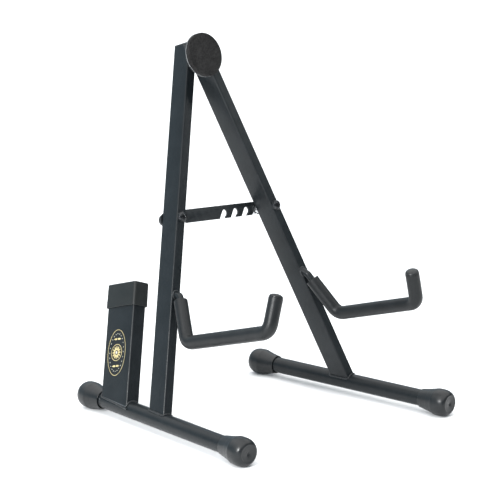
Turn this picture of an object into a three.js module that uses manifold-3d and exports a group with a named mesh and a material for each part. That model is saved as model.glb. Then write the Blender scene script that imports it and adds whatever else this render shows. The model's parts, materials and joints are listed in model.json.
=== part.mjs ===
// Folding A-frame guitar stand: two rectangular legs on a hinge bolt, round base tubes with
// rubber feet, two padded cradle arms, a notched strut and a foam pad for the guitar's back.
import * as THREE from 'three';
import { mergeVertices } from 'three/addons/utils/BufferGeometryUtils.js';
import Module from 'manifold-3d';

const wasm = await Module();
wasm.setup();

// ---------- driving dimensions, millimetres and degrees ----------
const GAP = 0.3; // clearance between touching pieces
const LEAN = rad(15.1); // the frame leans back
const SPREAD = rad(18.6); // each leg from the stand's middle plane
const TOE = rad(4.3); // base tubes spread towards the front
const HINGE_RISE = 381; // hinge above the base tubes' axes
const LEG = { width: 12.4, depth: 26.6, wall: 1.2, corner: 1.8, top: 20 };
const LEG_SPACING = 2.8; // between the two legs' facing sides
const TUBE = { radius: 9.5, wall: 1.2, front: 138.5, rear: 130.5 };
const FOOT = { mouth: 11, bulb: 15.5, face: 9.6, cuff: 25, nose: 13.2, flat: 15.25 };
const ARM = { rod: 4, sleeve: 7.85, bend: 14, rootBend: 5, bare: 3.7, tip: 3.8 };
const POST = { width: 18, depth: 48.2, wall: 1.5, corner: 2.4, top: 157, hem: 3.8 };
const POST_AT = { back: 86, outward: 1.2 }; // from the leg's front face and middle plane
const CAP = { wall: 1.6, top: 160, bottom: 132.5, roof: 2.6, corner: 3.6 };
const STRUT = { pivot: 184, catch: 189.5, droop: rad(-1.9), height: 15.2, thick: 2.4 };
const TANG = { reach: 4.6, neck: 7.4 }; // the strut's narrow end inside the leg
const NOTCH = { count: 4, pitch: 17.2, pocket: 4, mouth: 7.4, slant: rad(34) };
const PAD = { radius: 25, plate: 1.2, foam: 4.8, x: -9.6, z: 3.7, edge: 1.4 };
const BOLT = { shank: 2.95, hole: 3.25, head: 5.6, washer: 6, wideWasher: 8.1, nut: 5.6 };

const legMiddle = (LEG_SPACING + LEG.depth) / 2;

function rad(degrees) {
  return THREE.MathUtils.degToRad(degrees);
}

// ---------- materials ----------
const paint = finish(0x2b2d30, 0.5, 0.25);
const foam = finish(0x242527, 0.95, 0);
const rubber = finish(0x2a2c2f, 0.65, 0);
const plastic = finish(0x303133, 0.6, 0);
const zinc = finish(0xb9bcbf, 0.35, 0.9);
const blackSteel = finish(0x1d1e20, 0.45, 0.6);
const nylon = finish(0x1b1b1c, 0.5, 0);
const gilt = finish(0xb59a55, 0.4, 0.7);

function finish(color, roughness, metalness) {
  return { color, roughness, metalness };
}

// ---------- solids ----------
function solid(geometry) {
  const bare = geometry.clone();
  bare.deleteAttribute('normal');
  bare.deleteAttribute('uv');
  const welded = mergeVertices(bare, 1e-4);
  const vertProperties = new Float32Array(welded.attributes.position.array);
  const triVerts = new Uint32Array(welded.index.array);
  return new wasm.Manifold(new wasm.Mesh({ numProp: 3, vertProperties, triVerts }));
}

function geometryOf(manifold) {
  const { vertProperties, triVerts } = manifold.getMesh();
  const geometry = new THREE.BufferGeometry();
  geometry.setAttribute('position', new THREE.BufferAttribute(vertProperties, 3));
  geometry.setIndex(new THREE.BufferAttribute(triVerts, 1));
  return geometry;
}

function cut(geometry, ...tools) {
  return geometryOf(tools.reduce((body, tool) => body.subtract(solid(tool)), solid(geometry)));
}

function box(width, depth, height, x = 0, y = 0, z = 0) {
  return new THREE.BoxGeometry(width, depth, height).translate(x, y, z);
}

// A round bar along Y from y0 to y1.
function barY(radius, y0, y1, x = 0, z = 0, sides = 24) {
  return new THREE.CylinderGeometry(radius, radius, y1 - y0, sides).translate(x, (y0 + y1) / 2, z);
}

// A turned solid: profile points are [radius, height], and height runs along -Y (forward).
function turned(profile, sides = 32) {
  const points = profile.map(([radius, height]) => new THREE.Vector2(radius, height));
  return new THREE.LatheGeometry(points, sides).rotateX(Math.PI);
}

function roundedRect(width, depth, corner, path = new THREE.Shape()) {
  const x = width / 2 - corner;
  const y = depth / 2 - corner;
  path.absarc(x, y, corner, 0, Math.PI / 2);
  path.absarc(-x, y, corner, Math.PI / 2, Math.PI);
  path.absarc(-x, -y, corner, Math.PI, 1.5 * Math.PI);
  path.absarc(x, -y, corner, 1.5 * Math.PI, 2 * Math.PI);
  path.closePath();
  return path;
}

function prism(shape, bottom, top, curveSegments = 4) {
  const options = { depth: top - bottom, bevelEnabled: false, curveSegments };
  return new THREE.ExtrudeGeometry(shape, options).translate(0, 0, bottom);
}

function hollowPrism(width, depth, wall, corner, bottom, top) {
  const shape = roundedRect(width, depth, corner);
  const inner = Math.max(corner - wall, 0.6);
  shape.holes.push(roundedRect(width - 2 * wall, depth - 2 * wall, inner, new THREE.Path()));
  return prism(shape, bottom, top);
}

function ring(outer, inner, y0, y1, sides = 24) {
  return cut(barY(outer, y0, y1, 0, 0, sides), barY(inner, y0 - 1, y1 + 1, 0, 0, sides));
}

function hexNut(radius, hole, y0, y1) {
  return cut(barY(radius, y0, y1, 0, 0, 6), barY(hole, y0 - 1, y1 + 1));
}

// A flanged nut with a domed back, open at its end for the bolt's tip.
function domeNut(radius, height) {
  const profile = [[0, 0], [radius, 0], [radius, 0.9], [radius * 0.86, height * 0.42]];
  profile.push([radius * 0.68, height * 0.72], [radius * 0.5, height * 0.94], [0, height]);
  const body = turned(profile, 24).rotateX(Math.PI);
  return cut(body, barY(BOLT.hole, -1, height + 1));
}

// A pan-head bolt along Y: its head's underside is at y = 0 and its shank runs back to y = length.
function panBolt(height, length) {
  const { head: rim, shank } = BOLT;
  const profile = [[0, height], [rim * 0.55, height * 0.94], [rim * 0.85, height * 0.7]];
  profile.push([rim, height * 0.3], [rim, 0], [shank, 0], [shank, 0.6 - length]);
  profile.push([shank - 0.6, -length], [0, -length]);
  const body = turned(profile.reverse(), 24);
  const slotDepth = height * 0.55;
  const slots = [rad(45), rad(-45)].map((angle) =>
    box(rim * 1.15, slotDepth * 2, 1.2, 0, -height, 0).rotateY(angle));
  return cut(body, ...slots);
}

// ---------- scene graph ----------
const stand = group('guitar_stand');
const frame = group('leaning_frame', stand);
frame.rotation.x = -LEAN;
const sides = { left: legGroup('left', 1), right: legGroup('right', -1) };

function group(name, parent) {
  const made = new THREE.Group();
  made.name = name;
  if (parent) {
    parent.add(made);
  }
  return made;
}

function add(parent, name, geometry, look, place = {}) {
  const material = new THREE.MeshStandardMaterial({ ...look, name: `${name}_finish` });
  const mesh = new THREE.Mesh(geometry, material);
  mesh.name = name;
  mesh.position.set(place.x ?? 0, place.y ?? 0, place.z ?? 0);
  mesh.rotation.set(place.turnX ?? 0, place.turnY ?? 0, place.turnZ ?? 0);
  parent.add(mesh);
  return mesh;
}

// Each leg's own frame: Z up along the leg, Y back along the hinge bolt, hinge at the origin.
function legGroup(name, sign) {
  const leg = group(`${name}_leg_frame`, frame);
  leg.rotation.y = sign * SPREAD;
  const middle = sign * legMiddle;
  const length = (HINGE_RISE - Math.sin(LEAN) * middle) / (Math.cos(LEAN) * Math.cos(SPREAD));
  stand.updateMatrixWorld(true);
  const base = group(`${name}_base_frame`, stand);
  base.position.copy(leg.localToWorld(new THREE.Vector3(0, middle, -length)));
  base.rotation.z = -sign * TOE;
  stand.updateMatrixWorld(true);
  const toLeg = leg.matrixWorld.clone().invert().multiply(base.matrixWorld);
  return { name, sign, leg, base, middle, length, toLeg, front: middle - LEG.depth / 2 };
}

// The base tube's room, and all that lies less than lift above its axis, in the leg's own frame.
function tubeRoom(side, radius, lift = 0) {
  const tube = barY(radius, -300, 300, 0, 0, 48).applyMatrix4(side.toLeg);
  const below = box(200, 600, 100, 0, 0, lift - 50).applyMatrix4(side.toLeg);
  return [tube, below];
}

// ---------- legs and base ----------
function legSolid(side, extras) {
  const shell = hollowPrism(LEG.width, LEG.depth, LEG.wall, LEG.corner, -side.length, LEG.top);
  const hinge = barY(BOLT.hole, -40, Math.max(side.middle, 0));
  const inPlace = shell.translate(0, side.middle, 0);
  return cut(inPlace, hinge, ...extras, ...tubeRoom(side, TUBE.radius + GAP));
}

function topPlug(side) {
  const lip = prism(roundedRect(LEG.width, LEG.depth, LEG.corner), LEG.top + GAP, LEG.top + 1.6);
  const inner = LEG.wall + GAP;
  const outline = roundedRect(LEG.width - 2 * inner, LEG.depth - 2 * inner, 0.8);
  const stem = prism(outline, LEG.top - 7, LEG.top + 1);
  return geometryOf(solid(lip).add(solid(stem))).translate(0, side.middle, 0);
}

function footSolid() {
  const { mouth, bulb, face, cuff, nose, flat } = FOOT;
  const bore = TUBE.radius + GAP;
  const profile = [[0, nose - 1.1], [1.8, nose - 0.9], [2.4, nose], [face, nose]];
  const arcSteps = 5;
  for (let i = 1; i < arcSteps; i += 1) {
    const angle = (Math.PI / 2) * (i / arcSteps);
    const radius = face + (bulb - face) * Math.sin(angle);
    profile.push([radius, nose * 0.16 + nose * 0.84 * Math.cos(angle)]);
  }
  profile.push([bulb, nose * 0.16], [bulb, -3], [bulb - 0.9, -7.5], [mouth, -cuff + 1.2]);
  profile.push([mouth, -cuff], [bore + 0.9, -cuff], [bore + 0.9, 3 - cuff]);
  profile.push([bore, 3.6 - cuff], [bore, GAP], [0, GAP]);
  const under = box(60, 80, 10, 0, 0, -flat - 5);
  return cut(turned(profile.reverse(), 36), under);
}

function baseTube() {
  const { radius, wall, front, rear } = TUBE;
  return ring(radius, radius - wall, -front, rear, 48);
}

function weldBead(side, outline, innerOutline, lift = 0) {
  const [tube, below] = tubeRoom(side, TUBE.radius + GAP, lift);
  const around = barY(TUBE.radius + 1.7, -300, 300, 0, 0, 48).applyMatrix4(side.toLeg);
  const collar = solid(outline).subtract(solid(innerOutline)).intersect(solid(around));
  return geometryOf(collar.subtract(solid(tube)).subtract(solid(below)));
}

function legWeld(side) {
  const bottom = -side.length - 5;
  const top = -side.length + 40;
  const outline = (grow) => prism(
    roundedRect(LEG.width + 2 * grow, LEG.depth + 2 * grow, LEG.corner + grow), bottom, top,
  ).translate(0, side.middle, 0);
  return weldBead(side, outline(1.3), outline(GAP));
}

// ---------- cradle arms ----------
// Route in a plane across from the leg's middle: [above the tube axis, forward of the leg's
// front face], from the root to the sleeve's end. The sleeve starts at a share of stretch 1.
const ARM_PLANS = {
  left: {
    across: 0,
    sleeveStart: 0.102,
    route: [[139.5, -1.4], [137, 6.6], [82.9, 24.5], [83.6, 155.4], [119.7, 162.9]],
  },
  right: {
    across: -2,
    sleeveStart: 0.139,
    route: [[147, -1.4], [141.5, 4.9], [87.5, 25.15], [87.9, 147.7], [124, 159]],
  },
};

function armCurve(side, route, bends) {
  const points = route.map(([above, ahead]) =>
    new THREE.Vector3(0, side.front - ahead, above - side.length));
  const curve = new THREE.CurvePath();
  let from = points[0];
  for (let i = 1; i < points.length - 1; i += 1) {
    const corner = points[i];
    const back = points[i - 1].clone().sub(corner).normalize();
    const on = points[i + 1].clone().sub(corner).normalize();
    const setback = bends[i - 1] / Math.tan(back.angleTo(on) / 2);
    const enter = corner.clone().addScaledVector(back, setback);
    const leave = corner.clone().addScaledVector(on, setback);
    curve.add(new THREE.LineCurve3(from, enter));
    curve.add(new THREE.QuadraticBezierCurve3(enter, corner, leave));
    from = leave;
  }
  curve.add(new THREE.LineCurve3(from, points.at(-1)));
  return curve;
}

// A point between two route points, as a share of the way.
function between([from, to], share) {
  return from.map((value, axis) => value + share * (to[axis] - value));
}

function swept(shape, curve, steps, curveSegments) {
  return new THREE.ExtrudeGeometry(shape, { steps, curveSegments, extrudePath: curve });
}

function disc(radius, path = new THREE.Shape()) {
  path.absarc(0, 0, radius, 0, 2 * Math.PI);
  return path;
}

function armRod(side) {
  const { route, across } = ARM_PLANS[side.name];
  const last = route.slice(-2);
  const lengthLast = Math.hypot(last[1][0] - last[0][0], last[1][1] - last[0][1]);
  const end = between(last, 1 - ARM.bare / lengthLast);
  const curve = armCurve(side, [...route.slice(0, -1), end], [ARM.rootBend, ARM.bend, ARM.bend]);
  const rod = swept(disc(ARM.rod), curve, 46, 6);
  const behind = box(40, 40, 80, 0, side.front - GAP + 20, 150 - side.length);
  return cut(rod, behind).translate(across, 0, 0);
}

function armSleeve(side) {
  const { route, across, sleeveStart } = ARM_PLANS[side.name];
  const shape = disc(ARM.sleeve);
  shape.holes.push(disc(ARM.rod + 0.5, new THREE.Path()));
  const covered = [between(route.slice(1, 3), sleeveStart), ...route.slice(2)];
  return swept(shape, armCurve(side, covered, [ARM.bend, ARM.bend]), 42, 8).translate(across, 0, 0);
}

function armTip() {
  const stem = ARM.rod;
  const rim = ARM.sleeve - 0.4;
  const { tip } = ARM;
  const profile = [[0, -1.8], [stem, -1.8], [stem, GAP], [rim, GAP], [rim, tip * 0.32]];
  profile.push([rim * 0.93, tip * 0.62], [rim * 0.7, tip * 0.88], [rim * 0.35, tip], [0, tip]);
  return turned(profile, 24);
}

function tipPlace(side) {
  const { route, across } = ARM_PLANS[side.name];
  const [[above0, ahead0], [above1, ahead1]] = route.slice(-2);
  const rise = Math.atan2(above1 - above0, ahead1 - ahead0);
  return { x: across, y: side.front - ahead1, z: above1 - side.length, turnX: -rise };
}

// ---------- rear post ----------
function postSolid(side) {
  const place = postCentre(side);
  const low = -side.length + 5;
  const high = -side.length + POST.top;
  const shell = hollowPrism(POST.width, POST.depth, POST.wall, POST.corner, low, high);
  const room = tubeRoom(side, TUBE.radius + GAP, POST.hem);
  return cut(shell.translate(place.x, place.y, 0), ...room);
}

function postCentre(side) {
  return { x: -POST_AT.outward, y: side.front + POST_AT.back };
}

function postCap(side) {
  const place = postCentre(side);
  const grow = 2 * (CAP.wall + GAP);
  const bottom = CAP.bottom - side.length;
  const top = CAP.top - side.length;
  const bevel = { bevelEnabled: true, bevelThickness: 1.2, bevelSize: 1.2, bevelSegments: 2 };
  const outline = roundedRect(POST.width + grow - 2.4, POST.depth + grow - 2.4, CAP.corner - 1.2);
  const depth = top - bottom - 2.4;
  const shell = new THREE.ExtrudeGeometry(outline, { depth, curveSegments: 4, ...bevel });
  const pocket = roundedRect(POST.width + 2 * GAP, POST.depth + 2 * GAP, POST.corner);
  const hollow = prism(pocket, bottom - 5, top - CAP.roof);
  return cut(shell.translate(0, 0, bottom + 1.2), hollow).translate(place.x, place.y, 0);
}

function postWeld(side) {
  const place = postCentre(side);
  const outline = (grow) => prism(
    roundedRect(POST.width + 2 * grow, POST.depth + 2 * grow, POST.corner + grow),
    -side.length, -side.length + 60,
  ).translate(place.x, place.y, 0);
  return weldBead(side, outline(1.1), outline(GAP), 1.5);
}

function badge() {
  const outline = new THREE.Shape();
  outline.absellipse(0, 0, 16.5, 27, 0, 2 * Math.PI);
  return prism(outline, 0, 0.5, 20);
}

// ---------- strut ----------
const pivot = { x: -STRUT.pivot * Math.sin(SPREAD), z: -STRUT.pivot * Math.cos(SPREAD) };
const catchPin = { x: STRUT.catch * Math.sin(SPREAD), z: -STRUT.catch * Math.cos(SPREAD) };
const strutFront = LEG_SPACING / 2 + LEG.wall + GAP;

function strutSolid() {
  const reach = Math.hypot(catchPin.x - pivot.x, catchPin.z - pivot.z);
  const fall = Math.atan2(catchPin.z - pivot.z, catchPin.x - pivot.x) - STRUT.droop;
  const pinX = reach * Math.cos(fall);
  const pinZ = reach * Math.sin(fall);
  const half = STRUT.height / 2;
  const end = pinX + NOTCH.pocket + 5;
  const shape = new THREE.Shape();
  shape.absarc(0, 0, TANG.reach, rad(90), rad(270));
  shape.lineTo(TANG.neck - 2, -TANG.reach);
  shape.lineTo(TANG.neck + 1, -half);
  shape.lineTo(end - 3, -half);
  shape.lineTo(end, 3 - half);
  shape.absarc(end - 4, half - 4, 4, 0, rad(90));
  shape.lineTo(TANG.neck + 1, half);
  shape.lineTo(TANG.neck - 2, TANG.reach);
  shape.closePath();
  const plate = prism(shape, 0, STRUT.thick, 8);
  const cuts = [new THREE.CylinderGeometry(BOLT.hole, BOLT.hole, 9, 24).rotateX(Math.PI / 2)];
  for (let i = 0; i < NOTCH.count; i += 1) {
    cuts.push(...notch(pinX - i * NOTCH.pitch, pinZ));
  }
  return cut(plate, ...cuts);
}

// A round pocket with a mouth that slants down towards the pivot.
function notch(x, z) {
  const pocket = new THREE.CylinderGeometry(NOTCH.pocket, NOTCH.pocket, 9, 24);
  pocket.rotateX(Math.PI / 2).translate(x, z, 0);
  const lean = NOTCH.slant;
  const shift = NOTCH.mouth / 2 - NOTCH.pocket;
  const mouth = box(NOTCH.mouth, 16, 9, shift, -8, 0).rotateZ(-lean).translate(x, z, 0);
  return [pocket, mouth];
}

// ---------- pad ----------
function padPlate() {
  const disk = barY(PAD.radius, 0, PAD.plate, PAD.x, PAD.z, 64);
  return cut(disk, barY(BOLT.hole, -2, 4));
}

function padFoam() {
  const { radius, foam: thick, edge } = PAD;
  const profile = [[0, 0], [radius - 0.2, 0], [radius - 0.2, thick - edge]];
  for (let i = 1; i <= 3; i += 1) {
    const angle = (Math.PI / 2) * (i / 3);
    const inset = edge * (1 - Math.cos(angle));
    profile.push([radius - 0.2 - inset, thick - edge + edge * Math.sin(angle)]);
  }
  profile.push([0, thick]);
  const disk = turned(profile, 64).translate(PAD.x, 0, PAD.z);
  return cut(disk, barY(BOLT.head + 0.4, -3.4, 2));
}

// ---------- assembly ----------
function strutSlot() {
  const low = -STRUT.pivot - 11;
  const high = -STRUT.pivot + 50;
  const middle = strutFront + STRUT.thick / 2;
  const across = STRUT.thick + 2 * GAP;
  return box(LEG.width, across, high - low, LEG.width * 0.75, middle, (high + low) / 2);
}

function addSide(side) {
  const { name, leg, base, sign } = side;
  const drill = sign > 0 ? STRUT.pivot : STRUT.catch;
  const extras = [barY(BOLT.hole, -40, 40, 0, -drill)];
  if (sign > 0) {
    extras.push(strutSlot());
  }
  add(leg, `${name}_leg`, legSolid(side, extras), paint);
  add(leg, `${name}_leg_plug`, topPlug(side), plastic);
  add(leg, `${name}_leg_weld`, legWeld(side), paint);
  add(base, `${name}_base_tube`, baseTube(), paint);
  add(base, `${name}_front_foot`, footSolid(), rubber, { y: -TUBE.front });
  add(base, `${name}_rear_foot`, rearFoot(), rubber, { y: TUBE.rear });
  add(leg, `${name}_arm_rod`, armRod(side), paint);
  add(leg, `${name}_arm_sleeve`, armSleeve(side), foam);
  add(leg, `${name}_arm_tip`, armTip(), rubber, tipPlace(side));
}

function rearFoot() {
  return footSolid().rotateZ(Math.PI);
}

function addPost(side) {
  const { leg } = side;
  add(leg, 'rear_post', postSolid(side), paint);
  add(leg, 'rear_post_cap', postCap(side), plastic);
  add(leg, 'rear_post_weld', postWeld(side), paint);
  const place = postCentre(side);
  const face = place.x - POST.width / 2 - GAP;
  const middle = { x: face, y: place.y + 1, z: 79.5 - side.length };
  add(leg, 'post_badge', badge().rotateX(Math.PI / 2).rotateZ(-Math.PI / 2), gilt, middle);
}

function addPivot(side) {
  const at = (y) => ({ y, z: -STRUT.pivot });
  const rear = side.front + LEG.depth;
  const bushFront = strutFront + STRUT.thick + GAP;
  const bushRear = rear - LEG.wall - GAP;
  const headFace = side.front - 2 * GAP - 1;
  const nutFace = rear + 1.2 + 2 * GAP;
  const nutHeight = 6;
  const length = nutFace + nutHeight + 0.9 - headFace;
  const wide = ring(BOLT.wideWasher, BOLT.hole, 0, 1.2);
  add(side.leg, 'strut_pivot_washer', ring(BOLT.washer, BOLT.hole, 0, 1), blackSteel, at(headFace + GAP));
  add(side.leg, 'strut_pivot_bolt', panBolt(2.8, length), blackSteel, at(headFace));
  add(side.leg, 'strut_bush', ring(4.6, BOLT.hole, 0, bushRear - bushFront), zinc, at(bushFront));
  add(side.leg, 'strut_pivot_rear_washer', wide, blackSteel, at(rear + GAP));
  add(side.leg, 'strut_pivot_nut', domeNut(7.2, nutHeight), blackSteel, at(nutFace));
}

function addStrut() {
  const place = { x: pivot.x, y: strutFront + STRUT.thick, z: pivot.z };
  const turned90 = strutSolid().rotateX(Math.PI / 2);
  add(frame, 'strut_bar', turned90, blackSteel, { ...place, turnY: -STRUT.droop });
}

function addCatch(side) {
  const at = (y) => ({ y, z: -STRUT.catch });
  const rear = side.front + LEG.depth;
  const nut = strutFront - 2 * GAP - rear;
  const retainer = strutFront + STRUT.thick + GAP;
  const headFace = side.front - 2 * GAP - 1;
  const length = retainer + 3.6 + 1 - headFace;
  add(side.leg, 'catch_washer', ring(BOLT.washer, BOLT.hole, 0, 1), blackSteel, at(headFace + GAP));
  add(side.leg, 'catch_bolt', panBolt(2.8, length), blackSteel, at(headFace));
  add(side.leg, 'catch_nut', hexNut(BOLT.nut, BOLT.hole, 0, nut), zinc, at(rear + GAP));
  add(side.leg, 'catch_end_nut', hexNut(BOLT.nut, BOLT.hole, 0, 3.6), zinc, at(retainer));
}

// The hinge bolt ends in a nut held between the left leg's inner sides.
function addHinge(left, right) {
  const plateFront = right.front - GAP - PAD.plate;
  const thick = LEG_SPACING - 2 * GAP;
  const nutFront = left.front + LEG.wall + GAP;
  const nutHeight = 5.6;
  const length = nutFront + nutHeight + 1.5 - (plateFront - GAP);
  const captive = (LEG.width / 2 - LEG.wall - GAP) / Math.cos(Math.PI / 6);
  add(frame, 'hinge_spacer', ring(8, BOLT.hole, 0, thick), nylon, { y: right.front + LEG.depth + GAP });
  add(frame, 'hinge_bolt', panBolt(2.7, length), blackSteel, { y: plateFront - GAP });
  add(left.leg, 'hinge_nut', hexNut(captive, BOLT.hole, 0, nutHeight), zinc, { y: nutFront });
  add(right.leg, 'pad_plate', padPlate(), paint, { y: plateFront });
  add(right.leg, 'neck_pad', padFoam(), foam, { y: plateFront - GAP });
}

addSide(sides.left);
addSide(sides.right);
addPost(sides.left);
addPivot(sides.left);
addStrut();
addCatch(sides.right);
addHinge(sides.left, sides.right);

// The origin is the middle of the footprint, on the floor.
const bounds = new THREE.Box3().setFromObject(stand, true);
const centre = bounds.getCenter(new THREE.Vector3());
stand.position.set(-centre.x, -centre.y, -bounds.min.z);

export default stand;
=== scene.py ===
"""Looks of a folding guitar stand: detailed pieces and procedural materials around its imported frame."""

import json
import math

import bmesh
import bpy
from mathutils import Matrix, Vector, noise


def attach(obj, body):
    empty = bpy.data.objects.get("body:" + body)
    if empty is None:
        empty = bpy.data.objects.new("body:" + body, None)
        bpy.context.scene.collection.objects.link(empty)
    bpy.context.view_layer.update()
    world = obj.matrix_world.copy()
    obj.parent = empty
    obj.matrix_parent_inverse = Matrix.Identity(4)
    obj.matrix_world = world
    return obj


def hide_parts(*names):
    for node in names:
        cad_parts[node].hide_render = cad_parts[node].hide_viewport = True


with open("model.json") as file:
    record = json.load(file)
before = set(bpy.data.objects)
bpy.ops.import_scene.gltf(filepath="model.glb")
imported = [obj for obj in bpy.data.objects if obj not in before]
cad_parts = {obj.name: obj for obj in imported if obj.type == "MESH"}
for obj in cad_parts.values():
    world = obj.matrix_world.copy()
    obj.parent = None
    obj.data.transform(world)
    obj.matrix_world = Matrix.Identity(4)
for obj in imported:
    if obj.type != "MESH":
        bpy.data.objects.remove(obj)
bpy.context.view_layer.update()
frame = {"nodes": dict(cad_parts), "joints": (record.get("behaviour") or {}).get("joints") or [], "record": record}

MM = 0.001
TURN = 2 * math.pi
nodes = frame["nodes"]
record = frame["record"]
joints = {joint["name"]: joint for joint in frame["joints"]}
mounts = {mount["name"]: Vector(mount["pos_m"]) for mount in record["mounts"]}
body_of = {node: body for body, members in record["behaviour"]["bodies"].items() for node in members}

# ---------- the frame's own sizes, in metres ----------
LEG_WIDTH, LEG_DEPTH, LEG_CORNER = 12.4 * MM, 26.6 * MM, 1.8 * MM
LEG_GAP, LEG_WALL = 2.8 * MM, 1.2 * MM
TUBE_RADIUS, TUBE_FRONT, TUBE_REAR = 9.5 * MM, 138.5 * MM, 130.5 * MM
FOOT_FLAT = 15.25 * MM  # the tube's axis above the floor
POST_WIDTH, POST_DEPTH, POST_CORNER = 18 * MM, 48.2 * MM, 2.4 * MM
POST_BACK, POST_OUTWARD = 86 * MM, 1.2 * MM
POST_HEM = 3.8 * MM
CAP_TOP, CAP_BOTTOM, CAP_WALL, CAP_CORNER = 160 * MM, 132.5 * MM, 1.6 * MM, 3.6 * MM
BADGE_ABOVE, BADGE_BEHIND = 79.5 * MM, 1 * MM
STRUT_PIVOT, STRUT_CATCH, STRUT_THICK = 184 * MM, 189.5 * MM, 2.4 * MM
ROD_RADIUS, SLEEVE_RADIUS, SLEEVE_BORE = 4 * MM, 7.85 * MM, 4.5 * MM
ROOT_BEND, ARM_BEND, BARE_END, TIP_RISE = 5 * MM, 14 * MM, 3.7 * MM, 3.8 * MM
# Each arm: across from the leg's middle, the sleeve's start as a share of the second stretch, and
# the corners as (above the base tube's axis, ahead of the leg's front face), all in millimetres.
ARMS = {
    "left": (0, 0.102, [(139.5, -1.4), (137, 6.6), (82.9, 24.5), (83.6, 155.4), (119.7, 162.9)]),
    "right": (-2, 0.139, [(147, -1.4), (141.5, 4.9), (87.5, 25.15), (87.9, 147.7), (124, 159)]),
}
PAD_RADIUS, PAD_THICK, PAD_PLATE = 24.8 * MM, 4.8 * MM, 1.2 * MM
PAD_X, PAD_Z = -9.6 * MM, 3.7 * MM  # the pad's centre from the hinge, in the right leg's frame
GAP = 0.3 * MM
SHANK, HEAD, HEAD_HEIGHT, HINGE_HEAD_HEIGHT = 2.95 * MM, 5.6 * MM, 2.8 * MM, 2.7 * MM
NUT_CORNER, STOP_NUT_THICK, HINGE_COLLAR = 5.6 * MM, 3.6 * MM, 1.4 * MM
WASHER_RADIUS, WASHER_THICK = 6 * MM, 1 * MM
WIDE_RADIUS, WIDE_THICK = 8.1 * MM, 1.2 * MM
DOME_RADIUS, DOME_HEIGHT = 7.2 * MM, 6 * MM

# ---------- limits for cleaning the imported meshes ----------
SAME_POINT = 1e-6
FLAT_ANGLE, SHARP_ANGLE, SMOOTH_ANGLE = math.radians(0.6), math.radians(40), math.radians(32)


# ---------- places ----------
HINGE = Vector(joints["fold"]["pos_m"])
BACK = Vector(joints["fold"]["axis"]).normalized()
ACROSS = Vector((1, 0, 0))
RISE = ACROSS.cross(BACK)
pivot_drop = Vector(joints["strut_swing"]["pos_m"]) - HINGE
SPREAD = math.atan2(-pivot_drop.dot(ACROSS), -pivot_drop.dot(RISE))


def basis(x_axis, y_axis, z_axis, origin):
    """A matrix whose columns are the three axes and the origin."""
    rows = [[x_axis[i], y_axis[i], z_axis[i], origin[i]] for i in range(3)]
    return Matrix([*rows, [0, 0, 0, 1]])


class Side:
    """One leg and its base tube: leg has Z up the leg and Y back, base has Y back along the tube."""

    def __init__(self, name, sign):
        self.name, self.sign = name, sign
        angle = sign * SPREAD
        leg_x = ACROSS * math.cos(angle) - RISE * math.sin(angle)
        leg_z = ACROSS * math.sin(angle) + RISE * math.cos(angle)
        self.leg = basis(leg_x, BACK, leg_z, HINGE)
        self.middle = sign * (LEG_GAP + LEG_DEPTH) / 2
        self.front = self.middle - LEG_DEPTH / 2
        start = self.leg @ Vector((0, self.middle, 0))
        self.length = (start.z - FOOT_FLAT) / leg_z.z
        along = (mounts[f"floor_{name}_rear"] - mounts[f"floor_{name}_front"]).normalized()
        foot = self.leg @ Vector((0, self.middle, -self.length))
        self.base = basis(along.cross(Vector((0, 0, 1))), along, Vector((0, 0, 1)), foot)
        self.body = body_of[f"{name}_leg"]
        self.arm_across, self.sleeve_start, self.arm_route = ARMS[name]

    def arm_point(self, above, ahead):
        """A corner of the cradle arm in the leg's frame, from its place in ARMS."""
        return Vector((self.arm_across * MM, self.front - ahead * MM, above * MM - self.length))


left = Side("left", 1)
right = Side("right", -1)
SIDES = (left, right)


# ---------- meshes ----------
def place_piece(name, mesh, material, cad_node=None, body=None, smooth=35):
    """Adds a mesh as a piece that rides on its body and stands for its CAD node, if it has one."""
    piece = bpy.data.objects.new(name, mesh)
    bpy.context.scene.collection.objects.link(piece)
    mesh.materials.append(material)
    mesh.polygons.foreach_set("use_smooth", [True] * len(mesh.polygons))
    mesh.set_sharp_from_angle(angle=math.radians(smooth))
    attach(piece, body or body_of[cad_node])
    if cad_node:
        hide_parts(cad_node)
    return piece


def mesh_from(bm, name, matrix=None):
    """Turns a bmesh into a mesh with its faces outwards, moved by a matrix if there is one."""
    bmesh.ops.recalc_face_normals(bm, faces=bm.faces)
    mesh = bpy.data.meshes.new(name)
    bm.to_mesh(mesh)
    bm.free()
    if matrix is not None:
        mesh.transform(matrix)
    return mesh


def loft(name, rings, matrix=None, loop=False):
    """A closed body through rings of points.

    loop joins the last ring to the first; if not, both ends are capped.
    """
    bm = bmesh.new()
    rows = [[bm.verts.new(point) for point in ring] for ring in rings]
    count = len(rows[0])
    pairs = list(zip(rows, rows[1:]))
    if loop:
        pairs.append((rows[-1], rows[0]))
    for low, high in pairs:
        for i in range(count):
            j = (i + 1) % count
            bm.faces.new((low[i], low[j], high[j], high[i]))
    if not loop:
        for row in (rows[0], rows[-1]):
            cap_ring(bm, row)
    return mesh_from(bm, name, matrix)


def cap_ring(bm, row):
    """Closes a ring with a fan to its middle."""
    middle = sum((vert.co for vert in row), Vector()) / len(row)
    hub = bm.verts.new(middle)
    for i, vert in enumerate(row):
        bm.faces.new((vert, row[(i + 1) % len(row)], hub))


def turned(name, profile, matrix, sides=64, loop=False, shape=None):
    """A turned body about the local Y axis from (radius, forward) pairs. shape changes a point's radius."""
    rings = []
    for radius, forward in profile:
        ring = []
        for i in range(sides):
            angle = TURN * i / sides
            size = shape(radius, forward, angle) if shape else radius
            ring.append((size * math.cos(angle), -forward, size * math.sin(angle)))
        rings.append(ring)
    return loft(name, rings, matrix, loop)


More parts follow.
